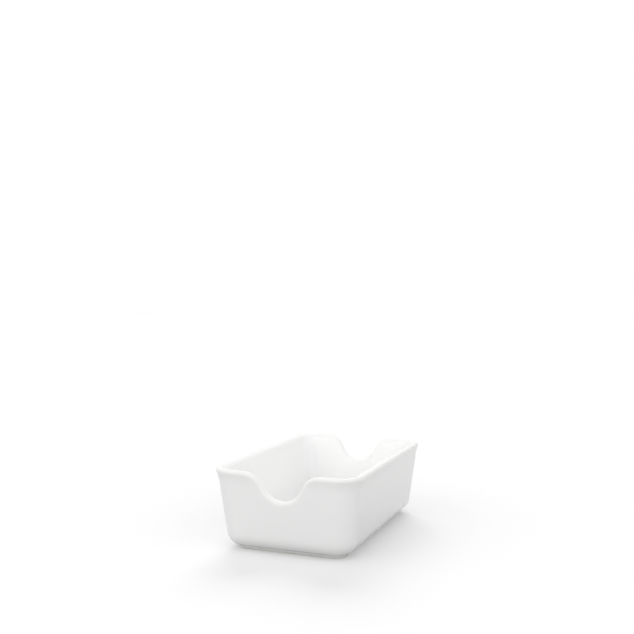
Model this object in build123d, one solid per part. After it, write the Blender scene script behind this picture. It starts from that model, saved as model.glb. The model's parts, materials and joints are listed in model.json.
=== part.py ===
from build123d import *
import math
import os

# Sugar packet holder: an open trough of glazed porcelain on a low foot ring.
# Both end walls carry a wide finger notch, so that packets can be pinched out.
# X runs across, Y runs from notch to notch, Z is up and the table is z = 0.
# All lengths are millimetres and all angles are degrees.

# Overall sizes of the glazed holder
rim_width = 75.0
rim_length = 120.0
total_height = 40.0

# Walls and floor, glaze included
wall_thickness = 4.6
floor_thickness = 5.0
wall_lean = 6.8
lip_height = 4.5
lip_flare = 0.9
outer_corner_radius = 11.0
inner_corner_radius = 8.0
corner_tightening = 0.3
bottom_edge_radius = 6.0
inside_edge_radius = 5.5

# Finger notch in each end wall
notch_depth = 13.5
notch_bottom_radius = 10.5
notch_shoulder_radius = 9.0
notch_flank_angle = 62.0

# Foot ring
foot_height = 1.8
foot_inset = 10.5
foot_ring_width = 3.6
foot_corner_radius = 7.0
foot_edge_radius = 0.4

# Glaze
glaze_thickness = 0.3
bare_foot_band = 0.8

# Values that follow from the sizes above
near = 0.001
# A much rounder corner outside than inside thins the wall there, and the rim's round follows.
corner_growth = outer_corner_radius - inner_corner_radius
corner_wall = math.sqrt(2) * wall_thickness - (math.sqrt(2) - 1) * corner_growth
rim_round = 0.46 * min(wall_thickness, corner_wall)
lean_slope = math.tan(math.radians(wall_lean))
lip_slope = lean_slope + lip_flare / lip_height
lip_angle = math.atan(lip_slope)
lip_turn = lip_angle - math.radians(wall_lean)
lip_level = total_height - lip_height
lip_blend_radius = 0.3 * lip_height / math.tan(lip_turn / 2)
# Rounding the leaning lip takes this much off its sharp outer corner.
rim_trim = rim_round * (lip_slope + 1 / math.cos(lip_angle) - 1)


def inset_at(level):
    """How far the outer wall has come in from its sharp rim at one level."""
    drop = total_height - level
    return drop * lean_slope + lip_flare * min(drop / lip_height, 1)


def wall_plan(level, inward, corner):
    """Rounded rectangle of a wall face at one level, moved inward."""
    inset = inset_at(level)
    across = rim_width + 2 * rim_trim - 2 * (inset + inward)
    along = rim_length + 2 * rim_trim - 2 * (inset + inward)
    outline = RectangleRounded(across, along, corner - corner_tightening * inset)
    return (Plane.XY.offset(level) * outline).face()


def edges_at(solid, level):
    """The level edges that lie at one height."""
    found = []
    for edge in solid.edges():
        if abs(edge.center().Z - level) < near and abs(edge.tangent_at(0.5).Z) < near:
            found.append(edge)
    return found


def leaning_block(bottom, top, inward, corner, edge_radius):
    """Block inside leaning walls, with a flared lip and a rounded bottom edge."""
    levels = [bottom, lip_level, top]
    plans = [wall_plan(level, inward, corner) for level in levels]
    block = loft(plans, ruled=True)
    block = fillet(edges_at(block, lip_level), lip_blend_radius)
    bottom_corner = corner - corner_tightening * inset_at(bottom)
    bottom_round = min(edge_radius, 0.85 * bottom_corner)
    return fillet(edges_at(block, bottom), bottom_round)


def notch_cutter(skin):
    """Bar with the notch's outline, long enough to cut both end walls."""
    bowl = notch_bottom_radius + skin
    shoulder = notch_shoulder_radius - skin
    top = total_height - skin
    bottom = top - notch_depth
    # The flank keeps a short straight between the bowl and the shoulder.
    steepest = math.acos(max(1 - 0.9 * notch_depth / (bowl + shoulder), -1))
    flank = min(math.radians(notch_flank_angle), steepest)
    straight_rise = notch_depth - (bowl + shoulder) * (1 - math.cos(flank))
    bowl_x = bowl * math.sin(flank)
    bowl_z = bottom + bowl * (1 - math.cos(flank))
    flank_x = bowl_x + straight_rise / math.tan(flank)
    flank_z = bowl_z + straight_rise
    half_width = flank_x + shoulder * math.sin(flank)
    arc_x = half_width - shoulder * math.sin(flank / 2)
    arc_z = top - shoulder * (1 - math.cos(flank / 2))
    above = total_height + notch_depth
    outline = [
        Line((-half_width, above), (-half_width, top)),
        ThreePointArc((-half_width, top), (-arc_x, arc_z), (-flank_x, flank_z)),
        Line((-flank_x, flank_z), (-bowl_x, bowl_z)),
        ThreePointArc((-bowl_x, bowl_z), (0, bottom), (bowl_x, bowl_z)),
        Line((bowl_x, bowl_z), (flank_x, flank_z)),
        ThreePointArc((flank_x, flank_z), (arc_x, arc_z), (half_width, top)),
        Line((half_width, top), (half_width, above)),
        Line((half_width, above), (-half_width, above)),
    ]
    bar = extrude(Plane.XZ * make_face(outline), rim_length, both=True)
    return bar, half_width, bottom


def rim_edges(cup, top, half_width, notch_bottom):
    """Every edge between the rim, notches included, and the two wall faces."""
    rim_faces = []
    for face in cup.faces():
        middle = face.center()
        level_along = abs(face.normal_at(None).Y) < near
        on_top = abs(middle.Z - top) < near
        in_notch = abs(middle.X) < half_width + near and middle.Z > notch_bottom - near
        if level_along and (on_top or in_notch):
            rim_faces.append(face)
    candidates = [edge for face in rim_faces for edge in face.edges()]
    border = []
    for edge in candidates:
        uses = sum(1 for other in candidates if other.is_same(edge))
        if uses == 1:
            border.append(edge)
    return border


def foot_block(inset, corner, height):
    """Upright block with the foot's rounded outline."""
    across = rim_width - 2 * inset
    along = rim_length - 2 * inset
    return extrude(RectangleRounded(across, along, corner), height)


def dish(skin):
    """The whole holder with every face but the standing face moved in by a skin."""
    top = total_height - skin
    underside = foot_height + skin
    floor_top = foot_height + floor_thickness - skin
    outside = leaning_block(
        underside, top, skin, outer_corner_radius - skin, bottom_edge_radius - skin
    )
    inside = leaning_block(
        floor_top, top, wall_thickness - skin, inner_corner_radius + skin, inside_edge_radius + skin
    )
    bar, half_width, notch_bottom = notch_cutter(skin)
    cup = outside - inside - bar
    cup = fillet(rim_edges(cup, top, half_width, notch_bottom), rim_round - skin)
    ring_top = underside + 0.4 * floor_thickness
    ring = foot_block(foot_inset + skin, foot_corner_radius - skin, ring_top)
    recess_inset = foot_inset + foot_ring_width - skin
    recess_corner = max(foot_corner_radius - foot_ring_width, foot_edge_radius) + skin
    recess = foot_block(recess_inset, recess_corner, underside)
    return cup + ring - recess


# Porcelain body: the fired clay, whole down to its bare standing face
porcelain_body = dish(glaze_thickness)
porcelain_body = fillet(edges_at(porcelain_body, 0), foot_edge_radius)

# Glaze: what lies between the body and the finished faces, above the bare foot
bare_zone = Box(
    2 * rim_width, 2 * rim_length, bare_foot_band, align=(Align.CENTER, Align.CENTER, Align.MIN)
)
glaze = dish(0) - bare_zone - porcelain_body
glaze_pieces = glaze.solids().sort_by(Axis.Z)

# The bare foot ring parts the glaze in two: a patch under the base and the main coat
base_glaze = glaze_pieces[0]
glaze_coat = glaze_pieces[-1]

os.makedirs("parts", exist_ok=True)
export_step(porcelain_body, "parts/porcelain_body.step")
export_step(glaze_coat, "parts/glaze_coat.step")
export_step(base_glaze, "parts/base_glaze.step")
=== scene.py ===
# %% [markdown]
# # A porcelain sugar packet holder
#
# The real holder is one piece of white hotel porcelain: an open trough with leaning walls, a finger
# notch in each end wall and a low foot ring. It is cast in clay, fired, dipped in glaze and fired
# again. The foot's standing face is wiped bare, or the melting glaze would glue it to the kiln shelf.
#
# This lesson models the glazed shape once, upright, then leans its walls, and parts it into the bare
# clay body, the main coat of glaze and the patch of glaze under the base.

import json
import math

import bmesh
import bpy
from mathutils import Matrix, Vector

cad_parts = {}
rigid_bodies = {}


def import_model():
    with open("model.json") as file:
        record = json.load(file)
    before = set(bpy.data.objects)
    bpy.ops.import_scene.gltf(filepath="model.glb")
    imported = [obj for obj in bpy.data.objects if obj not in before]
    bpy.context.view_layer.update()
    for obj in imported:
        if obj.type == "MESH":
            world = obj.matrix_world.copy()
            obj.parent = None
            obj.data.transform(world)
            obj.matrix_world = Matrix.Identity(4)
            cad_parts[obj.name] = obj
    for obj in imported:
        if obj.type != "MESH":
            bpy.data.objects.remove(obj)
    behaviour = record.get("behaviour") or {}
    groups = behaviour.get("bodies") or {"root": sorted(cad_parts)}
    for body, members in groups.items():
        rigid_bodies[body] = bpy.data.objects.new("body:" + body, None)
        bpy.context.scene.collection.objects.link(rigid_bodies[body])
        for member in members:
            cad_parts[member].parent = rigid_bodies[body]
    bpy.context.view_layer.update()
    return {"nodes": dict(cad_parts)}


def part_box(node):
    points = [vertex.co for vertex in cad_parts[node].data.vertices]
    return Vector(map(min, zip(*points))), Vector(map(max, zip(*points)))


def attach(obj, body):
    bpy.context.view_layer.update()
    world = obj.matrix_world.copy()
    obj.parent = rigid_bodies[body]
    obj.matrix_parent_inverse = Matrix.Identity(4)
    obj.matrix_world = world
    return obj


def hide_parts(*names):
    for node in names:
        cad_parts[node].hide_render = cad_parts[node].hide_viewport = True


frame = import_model()
print("CAD nodes:", sorted(frame["nodes"]))

# %% [markdown]
# ## Sizes
#
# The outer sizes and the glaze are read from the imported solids, so the looks can't drift away from
# the part. Smaller sizes are named in millimetres where they are first needed, as on a potter's
# drawing, and turned into metres because Blender's unit here is the metre.

# %% Sizes from the frame
MM = 0.001
coat_low, coat_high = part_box("glaze_coat")
rim_width = coat_high.x - coat_low.x
rim_length = coat_high.y - coat_low.y
rim_height = coat_high.z
glaze_line = coat_low.z
glaze_thickness = rim_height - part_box("porcelain_body")[1].z
print(f"rim {rim_width / MM:.1f} x {rim_length / MM:.1f} mm, height {rim_height / MM:.1f} mm")
print(f"glaze {glaze_thickness / MM:.2f} mm thick, down to {glaze_line / MM:.2f} mm above the table")

# %% [markdown]
# ## Working by place
#
# In a window you would click on the edges and faces to shape. A script picks them by where they are
# instead. These helpers open one piece in edit mode and select only what passes a test. Everything
# else is deselected first, because an operator acts on all that is selected.

# %% Helpers that open a piece and pick from it
TOUCH = 0.001 * MM
MOSTLY = 0.5


def open_piece(piece):
    """Edit mode on one piece alone, with nothing picked."""
    if bpy.context.mode != "OBJECT":
        bpy.ops.object.mode_set(mode="OBJECT")
    bpy.ops.object.select_all(action="DESELECT")
    piece.select_set(True)
    bpy.context.view_layer.objects.active = piece
    bpy.ops.object.mode_set(mode="EDIT")
    bpy.ops.mesh.select_all(action="DESELECT")


def pick(piece, kind, test):
    """Select just the VERT, EDGE or FACE items that pass a test, and count them."""
    bpy.ops.mesh.select_mode(type=kind)
    bpy.ops.mesh.select_all(action="DESELECT")
    shape = bmesh.from_edit_mesh(piece.data)
    items = {"VERT": shape.verts, "EDGE": shape.edges, "FACE": shape.faces}[kind]
    chosen = [item for item in items if test(item)]
    for item in chosen:
        item.select_set(True)
    shape.select_flush_mode()
    bmesh.update_edit_mesh(piece.data)
    return len(chosen)


def level_face(level, facing):
    """A test for flat faces at one level that look up (1) or down (-1)."""
    def test(face):
        at_level = all(abs(corner.co.z - level) < TOUCH for corner in face.verts)
        return at_level and face.normal.z * facing > MOSTLY
    return test


def report(piece, words):
    """Say how many faces a piece has and how large it is."""
    piece.update_from_editmode()
    size = " x ".join(f"{side / MM:.2f}" for side in piece.dimensions)
    print(f"{words}: {len(piece.data.polygons)} faces, {size} mm")


print("helpers ready")

# %% [markdown]
# ## The rim's outline
#
# Seen from above the holder is a rectangle with rounded corners. A plane gets that outline by
# bevelling its four corner points. The lip is flared out later, so the outline starts that much
# smaller.

# %% Plane with rounded corners
corner_radius = 11.0 * MM
corner_steps = 12
lip_flare = 0.9 * MM
upright_width = rim_width - 2 * lip_flare
upright_length = rim_length - 2 * lip_flare
bpy.ops.object.select_all(action="DESELECT")
bpy.ops.mesh.primitive_plane_add(size=1)
dish = bpy.context.object
dish.name = "glazed_shape"
open_piece(dish)
bpy.ops.mesh.select_all(action="SELECT")
bpy.ops.transform.resize(value=(upright_width, upright_length, 1))
bpy.ops.transform.translate(value=(0, 0, rim_height))
bpy.ops.mesh.bevel(offset=corner_radius, segments=corner_steps, affect="VERTICES")
report(dish, "rounded outline")

# %% [markdown]
# ## The notch's line
#
# Each end wall dips in a smooth finger notch: a round bowl, two steep straight flanks and two
# shoulders that roll over into the rim. The line is kept as points at even steps along its length,
# so that the steep flanks get as many points as the flat places.

# %% Points along half a notch
notch_depth = 13.5 * MM
bowl_radius = 10.5 * MM
shoulder_radius = 9.0 * MM
flank_angle = math.radians(62.0)
bowl_steps = 8
flank_steps = 2
shoulder_steps = 7

flank_rise = notch_depth - (bowl_radius + shoulder_radius) * (1 - math.cos(flank_angle))
flank_run = flank_rise / math.tan(flank_angle)
bowl_reach = bowl_radius * math.sin(flank_angle)
notch_reach = bowl_reach + flank_run + shoulder_radius * math.sin(flank_angle)
notch_line = []
for step in range(bowl_steps + 1):
    turn = flank_angle * step / bowl_steps
    drop = notch_depth - bowl_radius * (1 - math.cos(turn))
    notch_line.append((bowl_radius * math.sin(turn), drop))
flank_start, flank_top = notch_line[-1]
for step in range(1, flank_steps):
    share = step / flank_steps
    notch_line.append((flank_start + share * flank_run, flank_top - share * flank_rise))
for step in range(shoulder_steps + 1):
    turn = flank_angle * (1 - step / shoulder_steps)
    drop = shoulder_radius * (1 - math.cos(turn))
    notch_line.append((notch_reach - shoulder_radius * math.sin(turn), drop))
print(f"notch is {2 * notch_reach / MM:.1f} mm across its shoulders, {len(notch_line)} points a side")

# %% [markdown]
# ## Cuts for the columns
#
# The plane is bisected at every point of the notch's line, which gives the end walls a column of
# faces under each point. A few more cuts, along and across, keep the faces of the side walls short
# and part the corners from the straight sides.

# %% Bisect the outline
side_gaps = 12
corner_x = upright_width / 2 - corner_radius
corner_y = upright_length / 2 - corner_radius
columns = [x for x, drop in notch_line[1:]] + [(notch_reach + corner_x) / 2, corner_x]
cuts_x = [0.0] + columns + [-x for x in columns]
cuts_y = [corner_y * (2 * step / side_gaps - 1) for step in range(side_gaps + 1)]
cut_planes = [((x, 0, 0), (1, 0, 0)) for x in cuts_x] + [((0, y, 0), (0, 1, 0)) for y in cuts_y]
for point, normal in cut_planes:
    bpy.ops.mesh.select_all(action="SELECT")
    bpy.ops.mesh.bisect(plane_co=point, plane_no=normal, threshold=TOUCH)
report(dish, "outline with columns")

# %% [markdown]
# ## An upright block with a hollow
#
# The plane is pulled down to make a block, and its top is inset by the wall's thickness and pushed
# down to the floor. The walls stay upright for now, because a notch, a rounded rim and a rounded
# floor are all easier to make square and lean afterwards.

# %% Block and hollow
wall_thickness = 4.6 * MM
floor_level = 6.8 * MM
foot_height = 1.8 * MM
bpy.ops.mesh.select_all(action="SELECT")
down = (0, 0, foot_height - rim_height)
bpy.ops.mesh.extrude_region_move(TRANSFORM_OT_translate={"value": down})
bpy.ops.mesh.select_all(action="SELECT")
bpy.ops.mesh.normals_make_consistent(inside=False)
pick(dish, "FACE", level_face(rim_height, 1))
bpy.ops.mesh.inset(thickness=wall_thickness, use_boundary=True, use_even_offset=True)
down = (0, 0, floor_level - rim_height)
bpy.ops.mesh.extrude_region_move(TRANSFORM_OT_translate={"value": down})
report(dish, "hollow block")

# %% [markdown]
# ## The notches
#
# What is left of the top is the rim: a strip with an outer and an inner edge, which are marked as
# seams to be found again later. Then each column's rim points, at both ends of the holder, are moved
# down by their place on the notch's line. The last point of the line is on the rim already.

# %% Pull the rim down into the notches
pick(dish, "FACE", level_face(rim_height, 1))
bpy.ops.mesh.region_to_loop()
bpy.ops.mesh.mark_seam(clear=False)
whole_notch = notch_line[:-1] + [(-x, drop) for x, drop in notch_line[1:-1]]
for x, drop in whole_notch:
    moved = pick(dish, "VERT", lambda point: (
        abs(point.co.z - rim_height) < TOUCH
        and abs(point.co.x - x) < TOUCH
        and abs(point.co.y) > corner_y
    ))
    bpy.ops.transform.translate(value=(0, 0, -drop))
print(len(whole_notch), "columns lowered, the last by its", moved, "rim points")
report(dish, "block with notches")

# %% [markdown]
# ## Rounded edges
#
# Clay can't hold a sharp edge and glaze would run off one, so every edge is round: the rim almost
# to a half circle, the bottom outside, and the floor inside. Bevels in edit mode do all three while
# the walls are still single tall faces with room for them. Loop slide is off, so that the round
# keeps its width on the notch's steep flanks. The bottom round of the real holder reaches further up
# the wall than in under the base, so the pick is grown from the base by the round's rows of faces and
# stretched upwards.

# %% Bevel the rim, the bottom and the floor
rim_round = 2.1 * MM
bottom_round = 5.4 * MM
bottom_stretch = 1.2
inside_round = 5.0 * MM
round_steps = 6
pick(dish, "EDGE", lambda edge: edge.seam)
bpy.ops.mesh.bevel(offset=rim_round, segments=round_steps, affect="EDGES", loop_slide=False)
for level, facing, radius in ((foot_height, -1, bottom_round), (floor_level, 1, inside_round)):
    pick(dish, "FACE", level_face(level, facing))
    bpy.ops.mesh.region_to_loop()
    bpy.ops.mesh.bevel(offset=radius, segments=round_steps, affect="EDGES", loop_slide=False)
pick(dish, "FACE", level_face(foot_height, -1))
for row in range(round_steps):
    bpy.ops.mesh.select_more()
bpy.ops.transform.resize(value=(1, 1, bottom_stretch), center_override=(0, 0, foot_height))
report(dish, "rounded block")

# %% [markdown]
# ## Rows up the walls
#
# The walls are still one face high. Cutting their upright edges into even steps gives rows that
# follow the rim, dipping under the notches, which the lean and the lip need.

# %% Subdivide the upright edges
wall_rows = 10
tall = 8 * MM
rows = pick(dish, "EDGE", lambda edge: abs(edge.verts[0].co.z - edge.verts[1].co.z) > tall)
bpy.ops.mesh.subdivide(number_cuts=wall_rows)
report(dish, f"{rows} upright edges cut")

# %% [markdown]
# ## The foot ring
#
# The holder stands on a narrow ring, so that a slightly warped base can't rock. The flat of the base
# is inset a little and pulled down to the table, then inset by the ring's width and pushed back up.

# %% Foot ring and the recess inside it
foot_gap = 0.2 * MM
foot_ring_width = 3.6 * MM
foot_edge = 0.4 * MM
foot_edge_steps = 2
pick(dish, "FACE", level_face(foot_height, -1))
bpy.ops.mesh.inset(thickness=foot_gap, use_boundary=True, use_even_offset=True)
bpy.ops.mesh.extrude_region_move(TRANSFORM_OT_translate={"value": (0, 0, -foot_height)})
bpy.ops.mesh.inset(thickness=foot_ring_width, use_boundary=True, use_even_offset=True)
bpy.ops.mesh.extrude_region_move(TRANSFORM_OT_translate={"value": (0, 0, foot_height)})
pick(dish, "FACE", level_face(0, -1))
bpy.ops.mesh.region_to_loop()
bpy.ops.mesh.bevel(offset=foot_edge, segments=foot_edge_steps, affect="EDGES", loop_slide=False)
report(dish, "block on its foot")

# %% [markdown]
# ## Leaning the walls
#
# A mould must let the clay go, so the walls lean out. A Simple Deform taper does it: measured from a
# marker at the rim, it narrows the shape towards the base. It runs once across and once along, each
# with the other axis locked, so that all four walls lean by the same angle. Two more tapers, from a
# marker at the lip's level, turn just the lip out.

# %% Taper the dish
wall_lean = math.radians(6.8)
lip_height = 4.5 * MM


def taper(piece, level, low_share, across, along):
    """Scale a piece evenly upwards from one level, by a share across and a share along."""
    bpy.ops.object.empty_add(location=(0, 0, level))
    marker = bpy.context.object
    bpy.ops.object.select_all(action="DESELECT")
    bpy.context.view_layer.objects.active = piece
    for share, lock_x, lock_y in ((across, False, True), (along, True, False)):
        lean = piece.modifiers.new("lean", "SIMPLE_DEFORM")
        lean.deform_method = "TAPER"
        lean.deform_axis = "Z"
        lean.origin = marker
        lean.limits = (low_share, 1)
        lean.lock_x = lock_x
        lean.lock_y = lock_y
        lean.factor = share
        bpy.ops.object.modifier_apply(modifier=lean.name)
    bpy.data.objects.remove(marker)


bpy.ops.object.mode_set(mode="OBJECT")
base_inset = rim_height * math.tan(wall_lean)
taper(dish, rim_height, 0, 2 * base_inset / upright_width, 2 * base_inset / upright_length)
lip_share = 1 - lip_height / rim_height
taper(
    dish, rim_height - lip_height, lip_share,
    2 * lip_flare / upright_width, 2 * lip_flare / upright_length,
)
report(dish, "leaning dish")

# %% [markdown]
# ## Smooth and to size
#
# One level of Subdivision Surface rounds off what the bevels left angular and takes the kink out
# of the lip. It also pulls everything in by a hair, so the dish is then stretched to the exact box
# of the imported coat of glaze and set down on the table.

# %% Subdivide and fit to the frame
smooth = dish.modifiers.new("smooth", "SUBSURF")
smooth.levels = 1
smooth.render_levels = 1
bpy.ops.object.modifier_apply(modifier=smooth.name)
smooth_size = dish.dimensions
stretch = (rim_width / smooth_size.x, rim_length / smooth_size.y, rim_height / smooth_size.z)
open_piece(dish)
bpy.ops.mesh.select_all(action="SELECT")
bpy.ops.transform.resize(value=stretch, center_override=(0, 0, 0))
lowest = min(point.co.z for point in bmesh.from_edit_mesh(dish.data).verts)
bpy.ops.transform.translate(value=(0, 0, -lowest))
bpy.ops.object.mode_set(mode="OBJECT")
report(dish, "finished glazed shape")

# %% [markdown]
# ## Where the glaze runs thin
#
# Melted glaze creeps off edges and gathers in hollows. That follows the bend of the surface, so
# every point gets a number from how its normal turns against its neighbours: above nought on an
# edge, below nought in a hollow. A few rounds of averaging spread it out, and the finishes read it
# as an attribute of the mesh.

# %% Measure the bend at every point
bend_rounds = 3
shape = bmesh.new()
shape.from_mesh(dish.data)
shape.normal_update()
bends = {}
for point in shape.verts:
    turns = []
    for edge in point.link_edges:
        other = edge.other_vert(point)
        step = other.co - point.co
        turns.append((other.normal - point.normal).dot(step) / step.length_squared)
    bends[point] = sum(turns) / len(turns)
for spread in range(bend_rounds):
    around = {}
    for point in shape.verts:
        neighbours = [edge.other_vert(point) for edge in point.link_edges]
        around[point] = sum(bends[other] for other in neighbours) / len(neighbours)
    bends = {point: (bends[point] + around[point]) / 2 for point in bends}
bend_layer = dish.data.attributes.new("bend", "FLOAT", "POINT")
bend_layer.data.foreach_set("value", [bends[point] * MM for point in shape.verts])
print(f"bend runs from {min(bends.values()) * MM:.2f} to {max(bends.values()) * MM:.2f} per mm")
shape.free()

# %% [markdown]
# ## The bare clay body
#
# Under the glaze sits the fired clay. It is the same shape, shrunk by the glaze's thickness, with
# its standing face put back on the table because no glaze lies there.

# %% Shrink a copy into the body
lifted = 1.2 * glaze_thickness
bpy.ops.object.select_all(action="DESELECT")
dish.select_set(True)
bpy.context.view_layer.objects.active = dish
bpy.ops.object.duplicate()
bare_body = bpy.context.object
bare_body.name = "bare_body"
open_piece(bare_body)
bpy.ops.mesh.select_all(action="SELECT")
bpy.ops.transform.shrink_fatten(value=-glaze_thickness)
standing = pick(bare_body, "VERT", lambda point: point.co.z < lifted)
bpy.ops.transform.resize(value=(1, 1, 0), center_override=(0, 0, 0))
bpy.ops.object.mode_set(mode="OBJECT")
report(bare_body, f"clay body with {standing} points on the table")

# %% [markdown]
# ## Two skins of glaze
#
# The glaze stops a little above the table. Cutting the dish there takes the standing face away and
# leaves two loose sheets: the main coat and the patch under the base. Solidify gives each its real
# thickness, inwards, so the outside keeps its size.

# %% Cut, part and thicken the glaze
open_piece(dish)
bpy.ops.mesh.select_all(action="SELECT")
bpy.ops.mesh.bisect(
    plane_co=(0, 0, glaze_line), plane_no=(0, 0, 1), clear_inner=True, threshold=TOUCH
)
bpy.ops.mesh.select_all(action="SELECT")
bpy.ops.mesh.separate(type="LOOSE")
bpy.ops.object.mode_set(mode="OBJECT")
skins = sorted(bpy.context.selected_objects, key=lambda piece: piece.dimensions.z)
under_glaze, main_glaze = skins
under_glaze.name = "under_glaze"
main_glaze.name = "main_glaze"
for skin in skins:
    bpy.context.view_layer.objects.active = skin
    thick = skin.modifiers.new("thickness", "SOLIDIFY")
    thick.thickness = glaze_thickness
    thick.offset = -1
    thick.use_even_offset = True
    bpy.ops.object.modifier_apply(modifier=thick.name)
    report(skin, skin.name)

# %% [markdown]
# ## Smooth shading
#
# Everything flows except the glaze's cut edge, so faces are shaded smooth wherever they meet at
# less than a set angle.

# %% Shade the three pieces
flow_angle = math.radians(50)
for piece in (main_glaze, under_glaze, bare_body):
    bpy.ops.object.select_all(action="DESELECT")
    piece.select_set(True)
    bpy.context.view_layer.objects.active = piece
    bpy.ops.object.shade_smooth_by_angle(angle=flow_angle)
    triangles = sum(len(face.vertices) - 2 for face in piece.data.polygons)
    print(piece.name, triangles, "triangles")

# %% [markdown]
# ## Shader maths
#
# Finishes are made of nodes. This class wraps one output of a node so that sums can be written as
# Python: adding, taking away and multiplying wires adds the Math nodes. Its add method makes any
# other node, and feed plugs numbers or wires into a node. The last methods are the few patterns that
# the finishes below share.

# %% A wire class for shader sums
class Wire:
    """One output socket in a node tree, with Python's operators."""

    def __init__(self, tree, socket=None):
        self.tree = tree
        self.socket = socket

    def add(self, kind, settings=None, inputs=None, output=0):
        """Add a node: its settings first, then numbers or wires for its sockets."""
        node = self.tree.nodes.new(kind)
        for name, value in (settings or {}).items():
            setattr(node, name, value)
        self.feed(node, inputs or {})
        return Wire(self.tree, node.outputs[output])

    def feed(self, node, inputs):
        """Plug numbers or wires into a node's sockets."""
        for name, value in inputs.items():
            if isinstance(value, Wire):
                self.tree.links.new(value.socket, node.inputs[name])
            else:
                node.inputs[name].default_value = value

    def sum(self, operation, first, second):
        """One Math node on two numbers or wires."""
        return self.add("ShaderNodeMath", {"operation": operation}, {0: first, 1: second})

    def __add__(self, other):
        return self.sum("ADD", self, other)

    def __radd__(self, other):
        return self.sum("ADD", other, self)

    def __sub__(self, other):
        return self.sum("SUBTRACT", self, other)

    def __rsub__(self, other):
        return self.sum("SUBTRACT", other, self)

    def __mul__(self, other):
        return self.sum("MULTIPLY", self, other)

    def __rmul__(self, other):
        return self.sum("MULTIPLY", other, self)

    def between(self, low, high):
        """0 at low, 1 at high and a smooth change between them."""
        return self.add(
            "ShaderNodeMapRange",
            {"interpolation_type": "SMOOTHSTEP"},
            {"Value": self, "From Min": low, "From Max": high},
        )

    def noise(self, size, detail=2.0):
        """Cloudy noise with blotches of about this size."""
        inputs = {"Vector": self, "Scale": 1 / size, "Detail": detail}
        return self.add("ShaderNodeTexNoise", None, inputs)

    def stretched(self, x, y, z):
        """The same place with each axis multiplied."""
        return self.add("ShaderNodeVectorMath", {"operation": "MULTIPLY"}, {0: self, 1: (x, y, z)})

    def axis(self, name):
        """The X, Y or Z part of a place or direction."""
        return self.add("ShaderNodeSeparateXYZ", None, {"Vector": self}, output=name)

    def paint(self, colour):
        """A wire that carries one plain colour."""
        plain = self.add("ShaderNodeRGB")
        plain.socket.default_value = colour
        return plain

    def tint(self, share, colour):
        """This colour, mixed towards another by a share from 0 to 1."""
        inputs = {0: share, 6: self, 7: colour}
        return self.add("ShaderNodeMix", {"data_type": "RGBA"}, inputs, output=2)

    def dots(self, gap, radius, kept):
        """Scattered round dots: one to a cell of this gap, and only a share of them kept."""
        cell = self.add("ShaderNodeTexVoronoi", None, {"Vector": self, "Scale": 1 / gap})
        lot = Wire(self.tree, cell.socket.node.outputs["Color"]).axis("X")
        edge = radius / gap
        core = 0.4 * edge
        return cell.between(edge, core) * self.sum("LESS_THAN", lot, kept)

    def bump(self, depth):
        """Relief of this depth, with this wire as its height."""
        inputs = {"Strength": 1.0, "Distance": depth, "Height": self}
        return self.add("ShaderNodeBump", None, inputs)


def new_finish(name):
    """A new material, its shader and a wire to build with."""
    material = bpy.data.materials.new(name)
    material.use_nodes = True
    shader = material.node_tree.nodes["Principled BSDF"]
    return material, shader, Wire(material.node_tree)


print("wire class ready")

# %% [markdown]
# ## White glaze
#
# Hotel porcelain is an even white under a hard clear gloss. Close up it is less even: the glaze thins
# to a warmer white on edges, gathers a little cooler in hollows, lies in slow ripples with a fine
# peel, and has a few pinholes where gas broke through. Use adds dull rubbed streaks. All of it is
# faint, because the piece reads as plain white. Under the base the same glaze is thinner and duller,
# so one function mixes both.

# %% Mix the white glaze
warm_white = (0.92, 0.905, 0.88, 1)
cool_white = (0.885, 0.90, 0.90, 1)
pinhole_grey = (0.42, 0.40, 0.37, 1)
cloud_size = 28 * MM
streak_size = 1.6 * MM
ripple_size = 9 * MM
ripple_depth = 0.03 * MM
peel_size = 1.1 * MM
pinhole_gap = 6 * MM
pinhole_radius = 0.16 * MM


def mix_glaze(name, white, gloss, pinholes):
    """Glaze with its own white, roughness and share of pinholes."""
    material, shader, wire = new_finish(name)
    place = wire.add("ShaderNodeTexCoord", output="Object")
    bend = wire.add("ShaderNodeAttribute", {"attribute_name": "bend"}, output="Fac")
    cloud = place.noise(cloud_size)
    ripple = place.noise(ripple_size, detail=1.0)
    peel = place.noise(peel_size, detail=1.0)
    streak = place.stretched(1, 0.15, 1).noise(streak_size, detail=3.0).between(0.6, 0.75)
    holes = place.dots(pinhole_gap, pinhole_radius, pinholes)
    thin = bend.between(0.04, 0.35)
    pooled = bend.between(-0.02, -0.14)

    cloud_grey = (white - 0.02, white - 0.018, white - 0.022, 1)
    colour = wire.paint((white, white, white - 0.005, 1))
    colour = colour.tint(cloud.between(0.35, 0.75) * 0.5, cloud_grey)
    colour = colour.tint(thin * 0.6, warm_white)
    colour = colour.tint(pooled * 0.5, cool_white)
    colour = colour.tint(holes * 0.7, pinhole_grey)
    rough = gloss + cloud * 0.04 + streak * 0.07 + holes * 0.3
    height = ripple + peel * 0.06 - holes * 1.5
    relief = height.bump(ripple_depth)
    wire.feed(shader, {"Base Color": colour, "Roughness": rough, "Normal": relief})
    wire.feed(shader, {"IOR": 1.5, "Specular IOR Level": 0.4})
    print(name, "mixed with", len(material.node_tree.nodes), "nodes")
    return material


white_glaze = mix_glaze("white_glaze", white=0.93, gloss=0.06, pinholes=0.10)
base_white_glaze = mix_glaze("base_white_glaze", white=0.90, gloss=0.12, pinholes=0.35)

# %% [markdown]
# ## Bare porcelain
#
# The wiped foot shows the clay itself: matt, a shade warmer than the glaze and finely grained like
# an eggshell. Sliding on tables leaves grey rub marks on the standing face, and kiln sand leaves
# dark specks.

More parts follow.
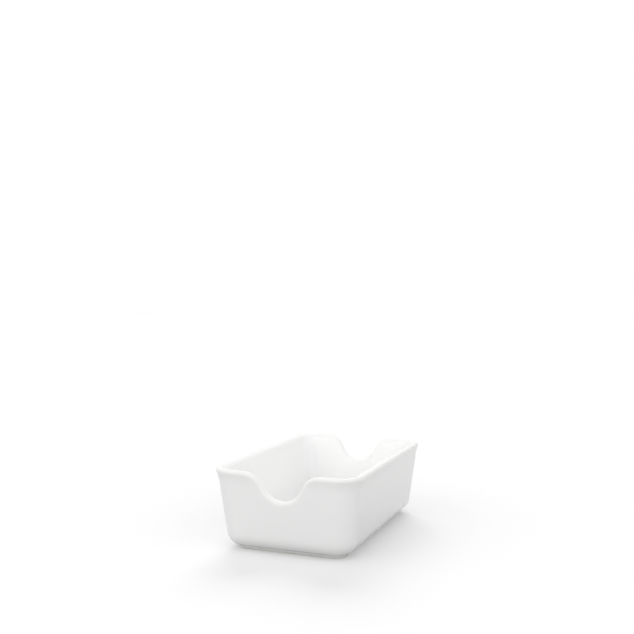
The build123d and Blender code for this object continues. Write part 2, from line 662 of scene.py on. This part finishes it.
# %% Mix the bare porcelain
clay_white = (0.80, 0.775, 0.735, 1)
patch_brown = (0.76, 0.725, 0.675, 1)
grain_shade = (0.70, 0.67, 0.63, 1)
rub_grey = (0.45, 0.44, 0.43, 1)
sand_brown = (0.30, 0.25, 0.21, 1)
grain_size = 0.35 * MM
grain_depth = 0.04 * MM
patch_size = 11 * MM
rub_size = 2.2 * MM
rub_top = 0.35 * MM
rub_bottom = 0.05 * MM
sand_gap = 2.2 * MM
sand_radius = 0.14 * MM
sand_share = 0.25


def mix_bare_porcelain(name):
    """Unglazed fired clay with rub marks where it meets the table."""
    material, shader, wire = new_finish(name)
    place = wire.add("ShaderNodeTexCoord", output="Object")
    grain = place.noise(grain_size, detail=3.0)
    patch = place.noise(patch_size)
    rub = place.stretched(1, 0.6, 1).noise(rub_size, detail=4.0).between(0.48, 0.72)
    on_table = place.axis("Z").between(rub_top, rub_bottom)
    worn = on_table * rub
    sand = place.dots(sand_gap, sand_radius, sand_share)

    colour = wire.paint(clay_white)
    colour = colour.tint(patch.between(0.35, 0.7) * 0.4, patch_brown)
    colour = colour.tint(grain.between(0.5, 0.8) * 0.3, grain_shade)
    colour = colour.tint(worn * 0.4, rub_grey)
    colour = colour.tint(sand * 0.6, sand_brown)
    rough = 0.72 + grain * 0.15 - worn * 0.2
    relief = grain.bump(grain_depth)
    wire.feed(shader, {"Base Color": colour, "Roughness": rough, "Normal": relief})
    wire.feed(shader, {"Specular IOR Level": 0.3})
    print(name, "mixed with", len(material.node_tree.nodes), "nodes")
    return material


bare_porcelain = mix_bare_porcelain("bare_porcelain")

# %% [markdown]
# ## Dressing the pieces
#
# Each piece takes its finish, rides the part's only body and stands in for its imported solid.

# %% Give each piece its finish and its place
for piece, finish, node, slot in (
    (main_glaze, white_glaze, "glaze_coat", "white_glaze"),
    (under_glaze, base_white_glaze, "base_glaze", "base_white_glaze"),
    (bare_body, bare_porcelain, "porcelain_body", "bare_porcelain"),
):
    piece.data.materials.clear()
    piece.data.materials.append(finish)
    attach(piece, "root")
    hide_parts(node)
    print(piece.name, "stands for", node)

# %% [markdown]
# ## The stage
#
# The holder stands on a white sheet that runs out of sight. What the camera and the gloss see of the
# sheet is white and glows a little, like the lit table of a product studio, which keeps the shadow
# soft and pale. The light that the sheet throws back on the holder is that of a plain grey card, so
# that the outside of the walls stays a shade darker than the inside.

# %% White floor
floor_size = 8.0
floor_white = 0.93
floor_bounce = 0.50
floor_glow = 0.12


def plain_rays(wire):
    """1 for what the camera, the gloss or clear glass sees, and 0 for light on its way."""
    rays = wire.add("ShaderNodeLightPath").socket.node
    plain = Wire(wire.tree, rays.outputs["Is Camera Ray"])
    for kind in ("Is Glossy Ray", "Is Transmission Ray"):
        plain = wire.sum("MAXIMUM", plain, Wire(wire.tree, rays.outputs[kind]))
    return plain


bpy.ops.object.select_all(action="DESELECT")
bpy.ops.mesh.primitive_plane_add(size=floor_size)
floor = bpy.context.object
floor.name = "studio_floor"
sheet_finish, shader, wire = new_finish("studio_white")
plain = plain_rays(wire)
sheet_white = floor_bounce + plain * (floor_white - floor_bounce)
wire.feed(shader, {"Base Color": sheet_white, "Roughness": 1.0, "Specular IOR Level": 0.0})
glow = wire.add("ShaderNodeEmission", None, {"Color": (1, 1, 1, 1), "Strength": 1.0})
lit = Wire(wire.tree, shader.outputs["BSDF"])
sheet = wire.add("ShaderNodeMixShader", None, {0: plain * floor_glow, 1: lit, 2: glow})
wire.feed(wire.tree.nodes["Material Output"], {"Surface": sheet})
floor.data.materials.append(sheet_finish)
print("floor laid,", floor_size, "m square")

# %% [markdown]
# ## The light
#
# A light tent suits white china: soft white all round, so that no hard reflections break up the
# smooth walls. It is strongest in a band part of the way up, as from a ring of soft boxes, because a
# bright ceiling would burn out what lies level before the walls inside the trough are light enough.
# It is also brighter in front than behind, which lights the faces turned to the camera. The camera
# and the gloss see plain white. One broad key light from behind on the left picks out the rim and
# casts the soft shadow towards the camera. The gloss doesn't mirror it, because its reflection would
# burn out the far rim, whose outline is faint enough against white. Together they light a level
# surface to about its own colour.

# %% Light tent and key light
tent_level = 0.24
tent_band = 3.6
tent_front = 0.63
tent_right = 0.10
key_energy = 1.3
key_spread = math.radians(40)
key_from = Vector((-0.30, 0.85, 0.66))

world = bpy.data.worlds.new("light_tent")
bpy.context.scene.world = world
world.use_nodes = True
wire = Wire(world.node_tree)
direction = wire.add("ShaderNodeTexCoord", output="Generated")
up = direction.axis("Z")
band = tent_level + up * (1 - up) * tent_band
tent = band * (1 + direction.axis("X") * tent_right - direction.axis("Y") * tent_front)
strength = tent + plain_rays(wire) * (1 - tent)
wire.feed(wire.tree.nodes["Background"], {"Color": (1, 1, 1, 1), "Strength": strength})

key_turn = key_from.to_track_quat("Z", "Y").to_euler()
bpy.ops.object.light_add(type="SUN", location=key_from, rotation=key_turn)
key = bpy.context.object
key.name = "key_light"
key.data.energy = key_energy
key.data.angle = key_spread
key.visible_glossy = False
# On a level surface, up * (1 - up) over the whole sky comes to a sixth.
level_light = tent_level + tent_band / 6 + key_energy / math.pi * key_from.normalized().z
print(f"a level surface gets {level_light:.2f} of its own colour")

# %% [markdown]
# ## The camera
#
# The photograph was taken from a little above and to the right of the front notch. Its place and
# lens were worked out from the outline of the rim and the foot.

# %% Set the camera
PIXELS = 634
focal_pixels = 878.3
sensor_width = 36
nearest = 10 * MM
camera_place = (164.3 * MM, -432.4 * MM, 125.0 * MM)
camera_turn = math.radians(21.33)
camera_dip = math.radians(1.62)
camera_aim = (math.pi / 2 - camera_dip, 0, camera_turn)
bpy.ops.object.camera_add(location=camera_place, rotation=camera_aim)
camera = bpy.context.object
camera.name = "photo_camera"
camera.data.sensor_width = sensor_width
camera.data.lens = sensor_width * focal_pixels / PIXELS
camera.data.clip_start = nearest
bpy.context.scene.camera = camera
bpy.context.scene.view_settings.view_transform = "Standard"
print(f"camera lens {camera.data.lens:.1f} mm")
